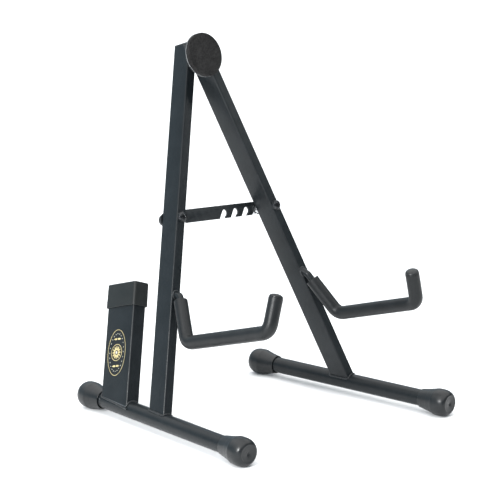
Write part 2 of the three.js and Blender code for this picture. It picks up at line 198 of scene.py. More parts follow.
def arc(centre, radius, start, end, steps):
    """Points of an arc in a profile, from the angle start to end in degrees."""
    points = []
    for i in range(steps + 1):
        angle = math.radians(start + (end - start) * i / steps)
        points.append((centre[0] + radius * math.cos(angle), centre[1] + radius * math.sin(angle)))
    return points


def rounded_rect(width, depth, corner, steps=6):
    """The outline of a rectangle with round corners, anticlockwise."""
    points = []
    for quarter, (x, y) in enumerate([(1, 1), (-1, 1), (-1, -1), (1, -1)]):
        centre = (x * (width / 2 - corner), y * (depth / 2 - corner))
        points += arc(centre, corner, 90 * quarter, 90 * quarter + 90, steps)
    return points


def leg_at(side, x=0.0, y=0.0, z=0.0):
    """The leg's frame moved to a point in it."""
    return side.leg @ Matrix.Translation((x, y, z))


def refined(cad_node, material, bevel):
    """A copy of a CAD node's mesh with clean flat faces and its sharp edges rounded."""
    bm = bmesh.new()
    bm.from_mesh(nodes[cad_node].data)
    bmesh.ops.remove_doubles(bm, verts=bm.verts, dist=SAME_POINT)
    bmesh.ops.dissolve_limit(bm, angle_limit=FLAT_ANGLE, verts=bm.verts, edges=bm.edges)
    sharp = [edge for edge in bm.edges if edge.is_manifold and edge.calc_face_angle() > SHARP_ANGLE]
    bmesh.ops.bevel(
        bm, geom=sharp, offset=bevel, segments=2, profile=0.5, affect="EDGES", clamp_overlap=True
    )
    place_piece(f"{cad_node}_detail", mesh_from(bm, f"{cad_node}_mesh"), material, cad_node)


# ---------- materials ----------
def new_material(name, roughness, metallic=0.0):
    material = bpy.data.materials.new(name)
    material.use_nodes = True
    shader = material.node_tree.nodes["Principled BSDF"]
    shader.inputs["Roughness"].default_value = roughness
    shader.inputs["Metallic"].default_value = metallic
    return material, shader


# In these helpers the owner is a material or the world. A Mix node's colour sockets share their
# names with its number and vector sockets, so they are found by place.
MIX_FIRST, MIX_RESULT = 6, 2


def node(owner, kind, **inputs):
    """A shader node with its inputs set, by the socket's name."""
    made = owner.node_tree.nodes.new(kind)
    for name, value in inputs.items():
        made.inputs[name.replace("_", " ")].default_value = value
    return made


def link(owner, source, target):
    owner.node_tree.links.new(source, target)


def coordinates(owner, stretch=(1, 1, 1)):
    """The piece's own coordinates, stretched along each axis."""
    source = node(owner, "ShaderNodeTexCoord").outputs["Object"]
    mapping = node(owner, "ShaderNodeMapping")
    mapping.inputs["Scale"].default_value = stretch
    link(owner, source, mapping.inputs["Vector"])
    return mapping.outputs["Vector"]


def noise_at(owner, vector, scale, detail=3.0, roughness=0.5):
    texture = node(owner, "ShaderNodeTexNoise", Scale=scale, Detail=detail, Roughness=roughness)
    link(owner, vector, texture.inputs["Vector"])
    return texture.outputs["Fac"]


def ramp(owner, value, stops):
    """Maps a value through (position, colour) stops."""
    made = node(owner, "ShaderNodeValToRGB")
    elements = made.color_ramp.elements
    for element, (position, colour) in zip(elements, (stops[0], stops[-1])):
        element.position, element.color = position, (*colour, 1)
    for position, colour in stops[1:-1]:
        elements.new(position).color = (*colour, 1)
    link(owner, value, made.inputs["Fac"])
    return made.outputs["Color"]


def remap(owner, value, low, high, source=(0.3, 0.7)):
    """Maps a value from the source range to low..high."""
    made = node(owner, "ShaderNodeMapRange")
    for name, number in zip(("From Min", "From Max", "To Min", "To Max"), (*source, low, high)):
        made.inputs[name].default_value = number
    link(owner, value, made.inputs["Value"])
    return made.outputs["Result"]


def combine(owner, first, second, operation="ADD"):
    """A sum or product of two values, each a socket or a number."""
    made = node(owner, "ShaderNodeMath")
    made.operation = operation
    for index, value in enumerate((first, second)):
        if isinstance(value, (int, float)):
            made.inputs[index].default_value = value
        else:
            link(owner, value, made.inputs[index])
    return made.outputs["Value"]


def blend_colours(owner, share, first, second):
    """Mixes two colours, each a socket or a tuple."""
    made = node(owner, "ShaderNodeMix")
    made.data_type = "RGBA"
    link(owner, share, made.inputs["Factor"])
    for socket, value in zip(made.inputs[MIX_FIRST : MIX_FIRST + 2], (first, second)):
        if isinstance(value, tuple):
            socket.default_value = (*value, 1)
        else:
            link(owner, value, socket)
    return made.outputs[MIX_RESULT]


def bump(material, shader, height, depth):
    """Height in 0..1 becomes relief of that depth in metres."""
    made = node(material, "ShaderNodeBump", Strength=1.0, Distance=depth)
    link(material, height, made.inputs["Height"])
    link(material, made.outputs["Normal"], shader.inputs["Normal"])


def edge_mask(material, radius, low, high):
    """Near 1 on outer edges sharper than the radius, 0 on flat faces."""
    rounded = node(material, "ShaderNodeBevel", Radius=radius)
    rounded.samples = 4
    geometry = node(material, "ShaderNodeNewGeometry")
    dot = node(material, "ShaderNodeVectorMath")
    dot.operation = "DOT_PRODUCT"
    link(material, rounded.outputs["Normal"], dot.inputs[0])
    link(material, geometry.outputs["Normal"], dot.inputs[1])
    return remap(material, dot.outputs["Value"], 1.0, 0.0, (low, high))


def powder_coat(name, dark, light, edge_highlight, roughness, gloss):
    """Satin powder coat: fine orange peel, soft mottling, a painted highlight on sharp edges broken up by the
    mottling, and a few hairline marks.
    """
    material, shader = new_material(name, roughness)
    place = coordinates(material)
    mottle = noise_at(material, place, 38, 4, 0.6)
    speck = noise_at(material, place, 1500, 2, 0.6)
    patches = combine(material, mottle, speck, "MULTIPLY")
    tone = ramp(material, patches, [(0.16, dark), (0.38, light)])
    # Sharp edges get a paler colour, patchy with the mottling: a painted highlight along the corners.
    edges = edge_mask(material, 0.7 * MM, 0.90, 0.995)
    edge_highlight_share = combine(material, edges, remap(material, mottle, 0.4, 0.95), "MULTIPLY")
    link(material, blend_colours(material, edge_highlight_share, tone, edge_highlight), shader.inputs["Base Color"])
    streaks = noise_at(material, coordinates(material, (1, 1, 0.04)), 900, 3)
    dull, marks = remap(material, speck, -0.05, 0.06), remap(material, streaks, -0.04, 0.05)
    finish = combine(material, combine(material, dull, marks), roughness)
    link(material, finish, shader.inputs["Roughness"])
    peel = combine(material, noise_at(material, place, 620, 2), speck)
    bump(material, shader, peel, 0.05 * MM)
    shader.inputs["Specular IOR Level"].default_value = gloss
    return material


def foam(name, dark, light, roughness, grain, depth, gloss):
    """Closed-cell foam: fine pits over soft uneven tone."""
    material, shader = new_material(name, roughness)
    place = coordinates(material)
    cells = node(material, "ShaderNodeTexVoronoi", Scale=grain)
    link(material, place, cells.inputs["Vector"])
    cloud = noise_at(material, place, 60, 4, 0.6)
    fine = noise_at(material, place, grain * 1.7, 3, 0.7)
    pits = remap(material, cells.outputs["Distance"], 0.0, 1.0, (0.05, 0.6))
    tone = combine(material, combine(material, cloud, fine, "MULTIPLY"), pits, "MULTIPLY")
    link(material, ramp(material, tone, [(0.03, dark), (0.3, light)]), shader.inputs["Base Color"])
    link(material, remap(material, fine, roughness - 0.06, roughness + 0.08), shader.inputs["Roughness"])
    bump(material, shader, combine(material, pits, fine), depth)
    shader.inputs["Specular IOR Level"].default_value = gloss
    return material


def moulded(name, dark, light, roughness, grain, depth, gloss):
    """Moulded rubber or plastic: a fine spark-eroded grain with smoother patches, and a painted highlight that
    makes sharp edges paler.
    """
    material, shader = new_material(name, roughness)
    shader.inputs["Specular IOR Level"].default_value = gloss
    place = coordinates(material)
    cloud = noise_at(material, place, 45, 4, 0.6)
    fine = noise_at(material, place, grain, 3, 0.6)
    edges = edge_mask(material, 0.6 * MM, 0.9, 0.995)
    tone = ramp(material, combine(material, cloud, fine, "MULTIPLY"), [(0.12, dark), (0.4, light)])
    # A paler colour on sharp edges: a painted highlight.
    pale = tuple(1.6 * channel for channel in light)
    share = combine(material, edges, 0.5, "MULTIPLY")
    link(material, blend_colours(material, share, tone, pale), shader.inputs["Base Color"])
    link(material, remap(material, cloud, roughness - 0.07, roughness + 0.07), shader.inputs["Roughness"])
    bump(material, shader, fine, depth)
    return material


def metal(name, dark, light, roughness, metallic=1.0, grain=420, gloss=0.5):
    """Plated or blackened steel with fine turning marks, a cloudy finish and a painted highlight on its sharp
    edges.
    """
    material, shader = new_material(name, roughness, metallic)
    shader.inputs["Specular IOR Level"].default_value = gloss
    place = coordinates(material)
    cloud = noise_at(material, place, 140, 4, 0.6)
    fine = noise_at(material, place, grain * 4, 3, 0.7)
    edges = edge_mask(material, 0.3 * MM, 0.85, 0.99)
    tone = ramp(material, cloud, [(0.35, dark), (0.65, light)])
    # A brighter colour on sharp edges: a painted highlight.
    bright = tuple(min(1.0, 1.35 * channel + 0.02) for channel in light)
    link(material, blend_colours(material, edges, tone, bright), shader.inputs["Base Color"])
    spread = combine(material, remap(material, cloud, -0.08, 0.1), remap(material, fine, -0.04, 0.05))
    link(material, combine(material, spread, roughness), shader.inputs["Roughness"])
    bump(material, shader, combine(material, noise_at(material, place, grain, 2), fine), 0.02 * MM)
    return material


# Each material: its name, its darkest and lightest colour, then the numbers its function names.
COAT = ((0.005, 0.0068, 0.008), (0.0095, 0.012, 0.0138))
COAT_FINISH = {"roughness": 0.33, "gloss": 0.24}
# edge_highlight is a painted highlight on sharp edges; the plate's much paler one is a painted reflection of the
# floor along its rim.
PAINT = powder_coat("powder_coat", *COAT, edge_highlight=(0.10, 0.11, 0.118), **COAT_FINISH)
PLATE = powder_coat("plate_coat", *COAT, edge_highlight=(0.5, 0.51, 0.52), **COAT_FINISH)
SLEEVE_FOAM = foam(
    "sleeve_foam", (0.003, 0.0038, 0.0043), (0.0085, 0.010, 0.011),
    roughness=0.38, grain=1900, depth=0.035 * MM, gloss=0.26,
)
PAD_FOAM = foam(
    "pad_foam", (0.0015, 0.0015, 0.0015), (0.021, 0.0207, 0.0207),
    roughness=0.8, grain=640, depth=0.3 * MM, gloss=0.14,
)
RUBBER = moulded(
    "moulded_rubber", (0.004, 0.005, 0.0057), (0.0105, 0.0125, 0.014),
    roughness=0.34, grain=1400, depth=0.03 * MM, gloss=0.36,
)
PLASTIC = moulded(
    "moulded_plastic", (0.006, 0.0075, 0.0075), (0.0115, 0.0135, 0.0135),
    roughness=0.45, grain=1700, depth=0.05 * MM, gloss=0.26,
)
ZINC = metal("zinc_plate", (0.42, 0.43, 0.45), (0.62, 0.63, 0.64), roughness=0.3)
BLACK_BOLT = metal(
    "black_zinc", (0.02, 0.022, 0.024), (0.05, 0.052, 0.055), roughness=0.16, metallic=0.8
)
BLACK_STEEL = metal(
    "black_oxide", (0.008, 0.010, 0.0115), (0.015, 0.018, 0.020),
    roughness=0.42, metallic=0.2, gloss=0.3,
)
GILT = metal("gilt_print", (0.56, 0.45, 0.2), (0.72, 0.6, 0.3), roughness=0.36, metallic=0.4)
SILVERING = metal("pale_print", (0.6, 0.57, 0.46), (0.76, 0.73, 0.62), roughness=0.4, metallic=0.2)
WELD = metal(
    "painted_weld", (0.008, 0.0095, 0.011), (0.016, 0.019, 0.021),
    roughness=0.3, metallic=0.15, grain=700,
)


# ---------- camera, floor and lights ----------
CAMERA_AZIMUTH, CAMERA_ELEVATION = -44.11, 11.12
CAMERA_DISTANCE, CAMERA_LENS = 1.9, 121.06
AIM = Vector((0.0202, 0.0416, 0.1861))
FLOOR_RADIUS, FLOOR_DROP, FLOOR_COLOUR = 40, 0.05 * MM, (0.9, 0.905, 0.91, 1)
# The light's colour from the room's dark front right, its pale back left, and the ceiling.
ROOM_DARK, ROOM_PALE, CEILING = (0.08, 0.12, 0.15), (0.48, 0.64, 0.76), (2.15, 2.15, 2.15)
PALE_AZIMUTH = -146
WHITE = (1.0, 1.0, 1.0)


def direction(azimuth, elevation):
    """From the object towards a place; azimuth 0 is in front and 90 to the right."""
    a, e = math.radians(azimuth), math.radians(elevation)
    return Vector((math.sin(a) * math.cos(e), -math.cos(a) * math.cos(e), math.sin(e)))


def add_camera():
    data = bpy.data.cameras.new("camera")
    data.lens = CAMERA_LENS
    data.clip_end = 200
    camera = bpy.data.objects.new("camera", data)
    back = direction(CAMERA_AZIMUTH, CAMERA_ELEVATION)
    camera.location = AIM + back * CAMERA_DISTANCE
    camera.rotation_euler = (-back).to_track_quat("-Z", "Y").to_euler()
    bpy.context.scene.collection.objects.link(camera)
    bpy.context.scene.camera = camera


def add_light(name, kind, azimuth, elevation, distance=0.0, **settings):
    """A light in a direction from the object, facing it."""
    data = bpy.data.lights.new(name, kind)
    for setting, value in settings.items():
        setattr(data, setting, value)
    light = bpy.data.objects.new(name, data)
    towards = direction(azimuth, elevation)
    light.location = AIM + towards * distance
    light.rotation_euler = towards.to_track_quat("Z", "Y").to_euler()
    bpy.context.scene.collection.objects.link(light)


def add_floor():
    bm = bmesh.new()
    bmesh.ops.create_circle(bm, cap_ends=True, radius=FLOOR_RADIUS, segments=64)
    floor = bpy.data.objects.new("floor", mesh_from(bm, "floor"))
    floor.location.z = -FLOOR_DROP
    material, shader = new_material("paper", 0.7)
    shader.inputs["Base Color"].default_value = FLOOR_COLOUR
    shader.inputs["Specular IOR Level"].default_value = 0.25
    floor.data.materials.append(material)
    bpy.context.scene.collection.objects.link(floor)


def add_world():
    """A dim blue-grey room, paler at the back left, under a bright ceiling, with a white backdrop."""
    world = bpy.data.worlds.new("studio")
    world.use_nodes = True
    place = node(world, "ShaderNodeTexCoord").outputs["Generated"]
    height = node(world, "ShaderNodeSeparateXYZ")
    link(world, place, height.inputs["Vector"])
    towards = node(world, "ShaderNodeVectorMath")
    towards.operation = "DOT_PRODUCT"
    towards.inputs[1].default_value = direction(PALE_AZIMUTH, 0) * 0.5
    link(world, place, towards.inputs[0])
    paleness = combine(world, towards.outputs["Value"], 0.5)
    sides = ramp(world, paleness, ((0.12, ROOM_DARK), (0.88, ROOM_PALE)))
    rise = ramp(world, height.outputs["Z"], ((0.34, (0, 0, 0)), (0.75, WHITE)))
    room = blend_colours(world, rise, sides, CEILING)
    rays = node(world, "ShaderNodeLightPath").outputs["Is Camera Ray"]
    background = world.node_tree.nodes["Background"]
    background.inputs["Strength"].default_value = 1.0
    link(world, blend_colours(world, rays, room, WHITE), background.inputs["Color"])
    bpy.context.scene.world = world


def add_studio():
    add_world()
    bpy.context.scene.view_settings.view_transform = "Standard"
    add_light("overhead", "SUN", -60, 68, energy=0.45, angle=math.radians(70))
    add_light("key", "AREA", -72, 18, distance=1.3, shape="DISK", size=0.16, energy=17)
    add_light("front", "AREA", 44, 24, distance=1.15, shape="DISK", size=0.12, energy=0.6)


# ---------- the frame's own metal ----------
def smooth_group():
    """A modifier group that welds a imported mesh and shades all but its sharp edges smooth."""
    group = bpy.data.node_groups.new("smooth_by_angle", "GeometryNodeTree")
    for socket in ("INPUT", "OUTPUT"):
        group.interface.new_socket("Geometry", in_out=socket, socket_type="NodeSocketGeometry")
    add, join = group.nodes.new, group.links.new
    start, end = add("NodeGroupInput"), add("NodeGroupOutput")
    weld = add("GeometryNodeMergeByDistance")
    faces, edges = add("GeometryNodeSetShadeSmooth"), add("GeometryNodeSetShadeSmooth")
    weld.inputs["Distance"].default_value = SAME_POINT
    edges.domain = "EDGE"
    edges.inputs["Shade Smooth"].default_value = False
    angle, limit = add("GeometryNodeInputMeshEdgeAngle"), add("FunctionNodeCompare")
    limit.inputs[1].default_value = SMOOTH_ANGLE
    join(angle.outputs["Unsigned Angle"], limit.inputs[0])
    join(limit.outputs["Result"], edges.inputs["Selection"])
    for source, target in ((start, weld), (weld, faces), (faces, edges), (edges, end)):
        join(source.outputs[0], target.inputs[0])
    return group


def keep_cad_node(name, material, group):
    """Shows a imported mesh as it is, with smooth shading and its material."""
    piece = nodes[name]
    mesh = piece.data
    if "custom_normal" in mesh.attributes:
        mesh.attributes.remove(mesh.attributes["custom_normal"])
    mesh.materials[0] = material
    piece.modifiers.new("smooth", "NODES").node_group = group


def dress_frame():
    group = smooth_group()
    for side in SIDES:
        keep_cad_node(f"{side.name}_leg", PAINT, group)
        keep_cad_node(f"{side.name}_base_tube", PAINT, group)
        refined(f"{side.name}_leg_plug", PLASTIC, 0.35 * MM)
    keep_cad_node("rear_post", PAINT, group)
    keep_cad_node("strut_bush", ZINC, group)
    keep_cad_node("hinge_spacer", PLASTIC, group)
    refined("strut_bar", BLACK_STEEL, 0.25 * MM)
    refined("pad_plate", PLATE, 0.3 * MM)


# ---------- feet ----------
def foot_profile():
    """(radius, forward) from the bore's floor round the mouth and bulb to the middle of the nose."""
    mouth, bulb, bore, nose, cuff = 11 * MM, 15.5 * MM, 9.75 * MM, 13.2 * MM, 25 * MM
    lead_in = 10.6 * MM
    profile = [(bore * 0.5, GAP), (bore, GAP), (bore, 3.6 * MM - cuff), (lead_in, 2.6 * MM - cuff)]
    profile += [(lead_in, 0.4 * MM - cuff), (10.8 * MM, -cuff), (mouth - 0.05 * MM, 0.15 * MM - cuff)]
    ribs, first, last = 7, 0.5 * MM - cuff, -12.5 * MM
    shoulder = -6.2 * MM
    for step in range(ribs * 4 + 1):
        share = step / (ribs * 4)
        forward = first + (last - first) * share
        ridge = 0.09 * MM * (0.5 - 0.5 * math.cos(TURN * ribs * share))
        profile.append((flare(forward, mouth, bulb, first, shoulder) - ridge, forward))
    for step in range(1, 6):
        forward = last + (shoulder - last) * step / 5
        profile.append((flare(forward, mouth, bulb, first, shoulder), forward))
    profile += [(bulb - 0.62 * MM, shoulder + 0.5 * MM), (bulb - 0.3 * MM, shoulder + 1.2 * MM)]
    profile += [(bulb - 0.08 * MM, shoulder + 2.4 * MM), (bulb, -1.8 * MM), (bulb, 0.6 * MM)]
    face, start = 9.8 * MM, 2.1 * MM
    profile.append((bulb, start))
    for step in range(1, 11):
        angle = math.pi / 2 * step / 10
        radius = face + (bulb - face) * math.cos(angle)
        profile.append((radius, start + (nose - start) * math.sin(angle)))
    face_steps = ((9.4, 0.02), (9.1, 0.22), (8.7, 0.26), (2.7, 0.26), (2.2, 0.5), (1.6, 1.1), (0.6, 1.35))
    profile += [(radius * MM, nose - sunk * MM) for radius, sunk in face_steps]
    return profile


def flare(forward, mouth, bulb, first, last):
    """The cone between the mouth and the bulb, slightly hollow."""
    share = (forward - first) / (last - first)
    return mouth + (bulb - 0.75 * MM - mouth) * (0.82 * share + 0.18 * share * share)


def add_feet():
    profile = foot_profile()
    for side in SIDES:
        for end, along, turn in (("front", -TUBE_FRONT, 0), ("rear", TUBE_REAR, math.pi)):
            matrix = side.base @ Matrix.Translation((0, along, 0)) @ Matrix.Rotation(turn, 4, "Z")
            mesh = turned(f"{side.name}_{end}_foot", profile, matrix, 72)
            for vert in mesh.vertices:
                vert.co.z = max(vert.co.z, 0.0)
            place_piece(f"{side.name}_{end}_rubber_foot", mesh, RUBBER, f"{side.name}_{end}_foot", smooth=42)


# ---------- cradle arms ----------
def arm_line(corners, bend_radii, spacing):
    """Points along a line with round bends, their arc lengths, and each bend's place and inside."""
    points, bends = [corners[0]], []
    for before, corner, after, bend in zip(corners, corners[1:], corners[2:], bend_radii):
        back, on = (before - corner).normalized(), (after - corner).normalized()
        setback = bend / math.tan(back.angle(on) / 2)
        enter, leave = corner + back * setback, corner + on * setback
        points += straight(points[-1], enter, spacing)
        for step in range(1, 13):
            t = step / 12
            points.append(enter * (1 - t) ** 2 + corner * 2 * t * (1 - t) + leave * t * t)
            if step == 6:
                bends.append((len(points) - 1, (back + on).normalized()))
    points += straight(points[-1], corners[-1], spacing)
    travelled = [0.0]
    for a, b in zip(points, points[1:]):
        travelled.append(travelled[-1] + (b - a).length)
    return points, travelled, [(travelled[index], inward) for index, inward in bends]


def straight(start, end, spacing):
    steps = max(1, round((end - start).length / spacing))
    return [start.lerp(end, step / steps) for step in range(1, steps + 1)]


def rings_along(points, radius_at, sides=40):
    """Rings square to a line in the leg's side plane.

    radius_at takes the point's index and the direction outwards.
    """
    rings = []
    for index, point in enumerate(points):
        ahead = points[min(index + 1, len(points) - 1)] - points[max(index - 1, 0)]
        normal = ACROSS.cross(ahead.normalized())
        ring = []
        for i in range(sides):
            angle = TURN * i / sides
            outward = normal * math.cos(angle) + ACROSS * math.sin(angle)
            ring.append(point + outward * radius_at(index, outward))
        rings.append(ring)
    return rings


def sleeve_radius(travelled, bends, phase):
    """The foam's outer radius: even, with wrinkles pressed into the inside of each bend."""
    pitch, reach, depth = 3.1 * MM, 5.2 * MM, 0.5 * MM
    uneven, bulge, corner = 0.10 * MM, 0.22 * MM, 0.6 * MM

    def radius(index, outward):
        here = travelled[index]
        size = SLEEVE_RADIUS + uneven * noise.noise(outward * 1.3 + Vector((here * 90, phase, 0)))
        for place, inward in bends:
            near = math.exp(-(((here - place) / reach) ** 2))
            inside = max(0.0, outward.dot(inward)) ** 2
            wave = 0.55 - 0.45 * math.cos(TURN * (here - place) / pitch)
            size -= depth * near * inside * (1.15 - wave)
            size += bulge * near * (1 - inside) * abs(outward.x)
        end = min(here, travelled[-1] - here)
        if end < corner:
            size -= corner * (1 - math.sqrt(1 - (1 - end / corner) ** 2))
        return size

    return radius


def near_end(end, beyond):
    """Points close to the sleeve's end, for its rounded corner, on the way to the next point."""
    distances = [0.08, 0.25, 0.45, 0.7]
    return [end.lerp(beyond, distance * MM / (beyond - end).length) for distance in distances]


def add_sleeve(side):
    """The foam tube over the arm, from near its root to its tip, open over the rod."""
    corners = [side.arm_point(*point) for point in side.arm_route]
    start = corners[1].lerp(corners[2], side.sleeve_start)
    points, travelled, bends = arm_line([start, *corners[2:]], (ARM_BEND, ARM_BEND), 2.2 * MM)
    first, last = near_end(points[0], points[1]), near_end(points[-1], points[-2])
    points = [points[0], *first, *points[1:-1], *reversed(last), points[-1]]
    lengths = [(points[0] - a).length for a in first]
    total = travelled[-1]
    travelled = [0.0, *lengths, *travelled[1:-1], *(total - x for x in reversed(lengths)), total]
    outer = rings_along(points, sleeve_radius(travelled, bends, side.sign * 3.0))
    inner = rings_along([*points[::3], points[-1]], lambda index, outward: SLEEVE_BORE)
    mesh = loft(f"{side.name}_sleeve", outer + inner[::-1], side.leg, loop=True)
    name = f"{side.name}_arm_sleeve"
    piece = place_piece(f"{side.name}_foam_sleeve", mesh, SLEEVE_FOAM, name, smooth=60)


def add_rod(side):
    """The bent rod, its root cut flat against the leg."""
    corners = [side.arm_point(*point) for point in side.arm_route]
    root, second = corners[:2]
    share = (side.front - GAP - root.y) / (second.y - root.y)
    start = root.lerp(second, share)
    corners[-1] = corners[-1] + (corners[-2] - corners[-1]).normalized() * BARE_END
    points, _, _ = arm_line(corners, (ROOT_BEND, ARM_BEND, ARM_BEND), 3 * MM)
    points = [start, *(point for point in points if point.y < start.y - 1 * MM)]
    rings = rings_along(points, lambda index, outward: ROD_RADIUS, 28)
    slope = (second - root).normalized()
    rings[0] = [point - slope * ((point.y - start.y) / slope.y) for point in rings[0]]
    mesh = loft(f"{side.name}_rod", rings, side.leg)
    place_piece(f"{side.name}_bent_rod", mesh, PAINT, f"{side.name}_arm_rod")
    add_rod_weld(side, start, slope)


def add_rod_weld(side, start, slope):
    """The fillet where the rod is welded to the leg's front face."""
    wide = ROD_RADIUS + 0.5 * MM
    tall = wide / abs(slope.y)
    path = []
    for i in range(96):
        angle = TURN * i / 96
        path.append(start + Vector((wide * math.cos(angle), GAP, tall * math.sin(angle))))
    name = f"{side.name}_arm_weld"
    mesh = bead(name, path, lambda point: Vector((0, -1, 0)), 0.95 * MM, side.leg, 1.0 + side.sign)
    place_piece(name, mesh, WELD, body=side.body, smooth=60)


def add_tip(side):
    """A low domed plug, its rim against the sleeve's end."""
    rim, stem, seat = SLEEVE_RADIUS - 0.45 * MM, ROD_RADIUS - 0.1 * MM, 0.04 * MM
    root, shoulder = -1.8 * MM, 0.5 * MM
    profile = [(stem * 0.4, root), (stem, root), (stem, seat), (rim - 0.3 * MM, seat)]
    profile += [(rim, seat + 0.2 * MM), (rim, shoulder)]
    for step in range(1, 12):
        angle = math.pi / 2 * step / 11
        radius = rim * math.cos(angle) ** 0.85 + 0.05 * MM
        profile.append((radius, shoulder + (TIP_RISE - shoulder) * math.sin(angle)))
    before, end = (side.arm_point(*point) for point in side.arm_route[-2:])
    rise = math.atan2(end.z - before.z, before.y - end.y)
    matrix = side.leg @ Matrix.Translation(end) @ Matrix.Rotation(-rise, 4, "X")
    mesh = turned(f"{side.name}_tip", profile, matrix, 48)
    place_piece(f"{side.name}_tip_plug", mesh, RUBBER, f"{side.name}_arm_tip")


# ---------- welds ----------
def bead(name, path, outward_at, size, matrix, phase):
    """A rippled weld bead along a closed path. outward_at gives its direction away from the metal."""
    sides, pitch, ripple, rough = 12, 1.5 * MM, 0.13, 0.16
    rings, travelled = [], 0.0
    for index, point in enumerate(path):
        ahead = (path[(index + 1) % len(path)] - path[index - 1]).normalized()
        outward = outward_at(point)
        outward = (outward - ahead * outward.dot(ahead)).normalized()
        across = ahead.cross(outward)
        travelled += (point - path[index - 1]).length
        lumps = rough * noise.noise(point * 260 + Vector((phase, 0, 0)))
        swell = 1 + ripple * math.cos(TURN * travelled / pitch) + lumps
        ring = []
        for i in range(sides):
            angle = TURN * i / sides
            ring.append(point + (outward * math.cos(angle) + across * math.sin(angle)) * size * swell)
        rings.append(ring)
    return loft(name, rings, matrix, loop=True)


def saddle_path(side, width, depth, corner, grow, centre, low):
    """Where a rectangular tube's outline, grown a little, meets the base tube, in the base's frame."""
    radius = TUBE_RADIUS + 0.35 * MM
    to_base = side.base.inverted() @ side.leg
    down = (to_base.to_3x3() @ Vector((0, 0, 1))).normalized()
    outline = rounded_rect(width + 2 * grow, depth + 2 * grow, corner + grow, 8)
    path = []
    for point in resample(outline, 0.4 * MM):
        start = to_base @ Vector((centre[0] + point[0], centre[1] + point[1], -side.length))
        a = down.x**2 + down.z**2
        b = start.x * down.x + start.z * down.z
        c = start.x**2 + start.z**2 - radius**2
        root = b * b - a * c
        hit = start + down * ((-b + math.sqrt(root)) / a) if root > 0 else start
        if root <= 0 or hit.z < low:
            edge = math.sqrt(radius**2 - low**2)
            hit = Vector((math.copysign(edge, start.x), hit.y, low))
        path.append(hit)
    return path


def resample(outline, spacing):
    """Even points along a closed outline."""
    points = []
    for (x, y), (next_x, next_y) in zip(outline, outline[1:] + outline[:1]):
        length = math.dist((x, y), (next_x, next_y))
        if length > 1e-9:
            steps = max(1, round(length / spacing))
            points += [(x + (next_x - x) * i / steps, y + (next_y - y) * i / steps) for i in range(steps)]
    return points


def radial(point):
    """The direction away from the base tube's axis."""
    return Vector((point.x, 0, point.z)).normalized()


def add_welds():
    for side in SIDES:
        path = saddle_path(side, LEG_WIDTH, LEG_DEPTH, LEG_CORNER, 0.45 * MM, (0, side.middle), 0)
        name = f"{side.name}_leg_weld"
        mesh = bead(name, path, radial, 1.15 * MM, side.base, side.sign)
        place_piece(f"{name}_bead", mesh, WELD, name, smooth=60)
    centre = (-POST_OUTWARD, left.front + POST_BACK)
    path = saddle_path(left, POST_WIDTH, POST_DEPTH, POST_CORNER, 0.3 * MM, centre, POST_HEM - 0.4 * MM)
    mesh = bead("rear_post_weld", path, radial, 1.0 * MM, left.base, 5.0)
    place_piece("rear_post_weld_bead", mesh, WELD, "rear_post_weld", smooth=60)


# ---------- rear post's cap and badge ----------
def add_cap():
    """A push-on cap with drafted sides, round corners and a shallow panel on top."""
    inner_w, inner_d = POST_WIDTH + 2 * GAP, POST_DEPTH + 2 * GAP
    low, high, roof = CAP_BOTTOM - left.length, CAP_TOP - left.length, 2.6 * MM
    grow = 2 * CAP_WALL

    def ring(width, depth, corner, height):
        return [(x, y, height) for x, y in rounded_rect(width, depth, corner, 8)]

    rings = [ring(inner_w * 0.5, inner_d * 0.5, POST_CORNER * 0.5, high - roof)]
    rings.append(ring(inner_w, inner_d, POST_CORNER, high - roof))
    rings.append(ring(inner_w, inner_d, POST_CORNER, low + 0.5 * MM))
    rings.append(ring(inner_w + 0.6 * MM, inner_d + 0.6 * MM, POST_CORNER + 0.3 * MM, low))
    rings.append(ring(inner_w + grow - 0.5 * MM, inner_d + grow - 0.5 * MM, CAP_CORNER - 0.25 * MM, low))
    rings.append(ring(inner_w + grow, inner_d + grow, CAP_CORNER, low + 0.3 * MM))
    draft, round_top = 0.5 * MM, 1.5 * MM
    top_w, top_d = inner_w + grow - draft, inner_d + grow - draft
    for step in range(7):
        angle = math.pi / 2 * step / 6
        inset = round_top * (1 - math.cos(angle)) * 2
        height = high - round_top * (1 - math.sin(angle))
        rings.append(ring(top_w - inset, top_d - inset, CAP_CORNER - inset / 4, height))
    panel_w, panel_d = top_w - 7 * MM, top_d - 7 * MM
    rings.append(ring(panel_w, panel_d, 1.6 * MM, high))
    rings.append(ring(panel_w - 0.5 * MM, panel_d - 0.5 * MM, 1.4 * MM, high - 0.35 * MM))
    rings.append(ring(panel_w * 0.4, panel_d * 0.4, 0.8 * MM, high - 0.35 * MM))
    matrix = leg_at(left, -POST_OUTWARD, left.front + POST_BACK)
    place_piece("post_end_cap", loft("post_cap", rings, matrix), PLASTIC, "rear_post_cap", smooth=32)


def flat_shape(bm, outline, low, high):
    """A thin solid between two heights from the badge's plane, from an outline of (across, up) points."""
    rows = [[bm.verts.new((height, x, z)) for x, z in outline] for height in (low, high)]
    for i in range(len(outline)):
        j = (i + 1) % len(outline)
        bm.faces.new((rows[0][i], rows[0][j], rows[1][j], rows[1][i]))
    for row in rows:
        bm.faces.new(row)


def band(bm, outer, inner, low, high):
    """A thin flat ring between two outlines of as many points."""
    count = len(outer)
    corners = ((outer, low), (outer, high), (inner, high), (inner, low))
    rows = [[bm.verts.new((height, x, z)) for x, z in line] for line, height in corners]
    for first, second in zip(rows, rows[1:] + rows[:1]):
        for i in range(count):
            j = (i + 1) % count
            bm.faces.new((first[i], first[j], second[j], second[i]))


def ellipse(wide, tall, steps=96, centre=(0.0, 0.0)):
    angles = [TURN * i / steps for i in range(steps)]
    return [(centre[0] + wide * math.cos(a), centre[1] + tall * math.sin(a)) for a in angles]


